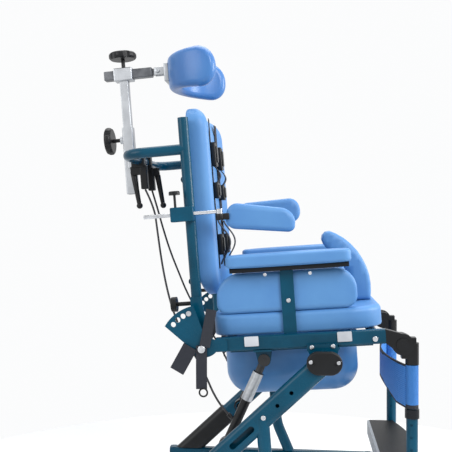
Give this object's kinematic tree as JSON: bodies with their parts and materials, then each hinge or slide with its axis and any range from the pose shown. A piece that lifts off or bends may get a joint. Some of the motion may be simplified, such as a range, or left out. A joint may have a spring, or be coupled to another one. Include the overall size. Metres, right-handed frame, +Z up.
{
  "type": "tilt shower commode chair",
  "caption": "Wheeled shower commode chair with a tilting seat, reclining back, headrest, side supports, arm rests, leg rest and slide-out pan.",
  "frame": {"origin": "centre of the chair's footprint on the floor", "axes": "+X to the front of the chair, +Y to its left side, +Z up"},
  "size_m": [0.7954, 0.572, 1.2558],
  "materials": {
    "teal_powder_coat": "satin",
    "black_plastic": "matte",
    "blue_foam": "satin",
    "blue_mesh": "matte",
    "pan_plastic": "satin",
    "light_grey_plastic": "satin",
    "satin_aluminium": "satin",
    "plated_steel": "polished",
    "dark_webbing": "matte",
    "cable_sheath": "matte",
    "castor_tyre": "matte"
  },
  "bodies": {
    "base": {"base_uprights": "teal_powder_coat", "upright_sockets": "black_plastic", "base_rails": "teal_powder_coat", "base_struts": "teal_powder_coat", "pivot_covers": "black_plastic", "base_cross_tubes": "teal_powder_coat"},
    "seat": {"seat_rails": "teal_powder_coat", "seat_cross_members": "teal_powder_coat", "seat_brackets": "teal_powder_coat", "hinge_quadrants": "teal_powder_coat", "hinge_bolts": "plated_steel", "rail_clips": "light_grey_plastic", "seat_pad": "blue_foam", "side_panels": "blue_foam", "splash_guard": "blue_foam", "leg_hubs": "black_plastic", "hip_belt": "dark_webbing"},
    "back": {"back_posts": "teal_powder_coat", "push_handle": "teal_powder_coat", "back_pad": "blue_foam", "headrest_socket": "satin_aluminium", "lateral_blocks": "teal_powder_coat", "lever_housings": "black_plastic", "chest_harness": "dark_webbing", "release_cables": "cable_sheath"},
    "legrest": {"leg_elbows": "black_plastic", "leg_tubes": "teal_powder_coat", "calf_band": "blue_mesh"},
    "foot": {"leg_lowers": "teal_powder_coat"},
    "footplate": {"footplate": "black_plastic"},
    "pan": {"commode_pan": "pan_plastic"},
    "gas_cylinders": {"gas_spring_cylinders": "black_plastic"},
    "gas_rods": {"gas_spring_rods": "plated_steel"},
    "head_post": {"headrest_post": "satin_aluminium"},
    "head_bar": {"headrest_bar": "satin_aluminium"},
    "head_pad": {"headrest_pad": "blue_foam"},
    "post_knob": {"headrest_post_knob": "black_plastic"},
    "bar_knob": {"headrest_bar_knob": "black_plastic"},
    "plungers": {"lateral_plungers": "black_plastic"},
    "recline_knobs": {"back_knobs": "black_plastic"},
    "arm_right": {"arm_support_right": "teal_powder_coat", "arm_pad_right": "blue_foam"},
    "lateral_right": {"lateral_rod_right": "plated_steel"},
    "trunk_pad_right": {"lateral_pad_right": "blue_foam"},
    "lever_right": {"release_lever_right": "black_plastic"},
    "brake_rear_right": {"castor_brake_rear_right": "black_plastic"},
    "arm_left": {"arm_support_left": "teal_powder_coat", "arm_pad_left": "blue_foam"},
    "lateral_left": {"lateral_rod_left": "plated_steel"},
    "trunk_pad_left": {"lateral_pad_left": "blue_foam"},
    "lever_left": {"release_lever_left": "black_plastic"},
    "brake_rear_left": {"castor_brake_rear_left": "black_plastic"},
    "castor_front_right": {"castor_fork_front_right": "plated_steel"},
    "wheel_front_right": {"castor_wheel_front_right": "castor_tyre"},
    "castor_front_left": {"castor_fork_front_left": "plated_steel"},
    "wheel_front_left": {"castor_wheel_front_left": "castor_tyre"},
    "castor_rear_right": {"castor_fork_rear_right": "plated_steel"},
    "wheel_rear_right": {"castor_wheel_rear_right": "castor_tyre"},
    "castor_rear_left": {"castor_fork_rear_left": "plated_steel"},
    "wheel_rear_left": {"castor_wheel_rear_left": "castor_tyre"}
  },
  "joints": [
    {"name": "seat_tilt", "type": "hinge", "parent": "base", "child": "seat", "pos_m": [0.16968, 0, 0.5], "axis": [0, -1, 0], "range_deg": [0, 27], "deforming": ["release_cables"]},
    {"name": "back_recline", "type": "hinge", "parent": "seat", "child": "back", "pos_m": [-0.10445, 0, 0.52093], "axis": [0, -1, 0], "range_deg": [0, 30], "deforming": ["release_cables"]},
    {"name": "legrest_raise", "type": "hinge", "parent": "seat", "child": "legrest", "pos_m": [0.34251, 0, 0.53715], "axis": [0, -1, 0], "range_deg": [0, 60]},
    {"name": "pan_slide", "type": "slide", "parent": "seat", "child": "pan", "axis": [-0.9976, 0, -0.0698], "range_m": [0, 0.25]},
    {"name": "arm_lift_right", "type": "slide", "parent": "seat", "child": "arm_right", "axis": [-0.0698, 0, 0.9976], "range_m": [0, 0.03]},
    {"name": "arm_lift_left", "type": "slide", "parent": "seat", "child": "arm_left", "axis": [-0.0698, 0, 0.9976], "range_m": [0, 0.03]},
    {"name": "leg_length", "type": "slide", "parent": "legrest", "child": "foot", "axis": [0, 0, -1], "range_m": [0, 0.06]},
    {"name": "footplate_fold", "type": "hinge", "parent": "foot", "child": "footplate", "pos_m": [0.36668, 0, 0.254], "axis": [0, -1, 0], "range_deg": [0, 25]},
    {"name": "headrest_height", "type": "slide", "parent": "back", "child": "head_post", "axis": [-0.0785, 0, 0.9969], "range_m": [0, 0.08]},
    {"name": "headrest_depth", "type": "slide", "parent": "head_post", "child": "head_bar", "axis": [0.9969, 0, 0.0785], "range_m": [-0.04, 0.03]},
    {"name": "headrest_tilt", "type": "hinge", "parent": "head_bar", "child": "head_pad", "pos_m": [-0.25437, 0, 1.20227], "axis": [0, -1, 0], "range_deg": [-15, 20]},
    {"name": "lateral_depth_right", "type": "slide", "parent": "back", "child": "lateral_right", "axis": [0.9969, 0, 0.0785], "range_m": [-0.04, 0.04]},
    {"name": "lateral_depth_left", "type": "slide", "parent": "back", "child": "lateral_left", "axis": [0.9969, 0, 0.0785], "range_m": [-0.04, 0.04]},
    {"name": "lateral_swing_right", "type": "hinge", "parent": "lateral_right", "child": "trunk_pad_right", "pos_m": [-0.0688, -0.206, 0.83269], "axis": [0.0785, 0, -0.9969], "range_deg": [0, 80]},
    {"name": "lateral_swing_left", "type": "hinge", "parent": "lateral_left", "child": "trunk_pad_left", "pos_m": [-0.0688, 0.206, 0.83269], "axis": [-0.0785, 0, 0.9969], "range_deg": [0, 80]},
    {"name": "plunger_pull", "type": "slide", "parent": "back", "child": "plungers", "axis": [-0.0785, 0, 0.9969], "range_m": [0, 0.01], "stiffness_N_per_m": 300},
    {"name": "release_lever_right", "type": "hinge", "parent": "back", "child": "lever_right", "pos_m": [-0.31065, -0.042, 0.93603], "axis": [0, -1, 0], "range_deg": [0, 8], "stiffness_Nm_per_rad": 0.6},
    {"name": "release_lever_left", "type": "hinge", "parent": "back", "child": "lever_left", "pos_m": [-0.26579, 0.042, 0.93956], "axis": [0, 1, 0], "range_deg": [0, 8], "stiffness_Nm_per_rad": 0.6},
    {"name": "recline_knob_pull", "type": "slide", "parent": "back", "child": "recline_knobs", "axis": [-0.9969, 0, -0.0785], "range_m": [0, 0.008], "stiffness_N_per_m": 400},
    {"name": "brake_right", "type": "hinge", "parent": "castor_rear_right", "child": "brake_rear_right", "pos_m": [-0.28832, -0.261, 0.105], "axis": [0, -1, 0], "range_deg": [0, 10]},
    {"name": "brake_left", "type": "hinge", "parent": "castor_rear_left", "child": "brake_rear_left", "pos_m": [-0.28832, 0.261, 0.105], "axis": [0, -1, 0], "range_deg": [0, 10]},
    {"name": "gas_spring_swing", "type": "hinge", "parent": "base", "child": "gas_cylinders", "pos_m": [-0.05508, 0, 0.29041], "axis": [0, -1, 0], "range_deg": [-14, 1]},
    {"name": "gas_spring_stroke", "type": "slide", "parent": "gas_cylinders", "child": "gas_rods", "axis": [0.4067, 0, 0.9135], "range_m": [-0.0472, 0.002]},
    {"name": "post_knob_turn", "type": "hinge", "parent": "back", "child": "post_knob", "pos_m": [-0.33225, 0, 1.02561], "axis": [0.9969, 0, 0.0785], "continuous": true},
    {"name": "bar_knob_turn", "type": "hinge", "parent": "head_post", "child": "bar_knob", "pos_m": [-0.34558, 0, 1.19509], "axis": [-0.0785, 0, 0.9969], "continuous": true},
    {"name": "swivel_front_right", "type": "hinge", "parent": "base", "child": "castor_front_right", "pos_m": [0.30768, -0.261, 0], "axis": [0, 0, 1], "continuous": true},
    {"name": "swivel_front_left", "type": "hinge", "parent": "base", "child": "castor_front_left", "pos_m": [0.30768, 0.261, 0], "axis": [0, 0, 1], "continuous": true},
    {"name": "swivel_rear_right", "type": "hinge", "parent": "base", "child": "castor_rear_right", "pos_m": [-0.25832, -0.261, 0], "axis": [0, 0, 1], "continuous": true},
    {"name": "swivel_rear_left", "type": "hinge", "parent": "base", "child": "castor_rear_left", "pos_m": [-0.25832, 0.261, 0], "axis": [0, 0, 1], "continuous": true},
    {"name": "roll_front_right", "type": "hinge", "parent": "castor_front_right", "child": "wheel_front_right", "pos_m": [0.27568, -0.261, 0.05], "axis": [0, 1, 0], "continuous": true},
    {"name": "roll_front_left", "type": "hinge", "parent": "castor_front_left", "child": "wheel_front_left", "pos_m": [0.27568, 0.261, 0.05], "axis": [0, 1, 0], "continuous": true},
    {"name": "roll_rear_right", "type": "hinge", "parent": "castor_rear_right", "child": "wheel_rear_right", "pos_m": [-0.29032, -0.261, 0.05], "axis": [0, 1, 0], "continuous": true},
    {"name": "roll_rear_left", "type": "hinge", "parent": "castor_rear_left", "child": "wheel_rear_left", "pos_m": [-0.29032, 0.261, 0.05], "axis": [0, 1, 0], "continuous": true}
  ],
  "couplings": [
    {"joint": "gas_spring_swing", "follows": "seat_tilt", "ratio": -0.47},
    {"joint": "gas_spring_stroke", "follows": "seat_tilt", "m_per_rad": -0.096}
  ]
}
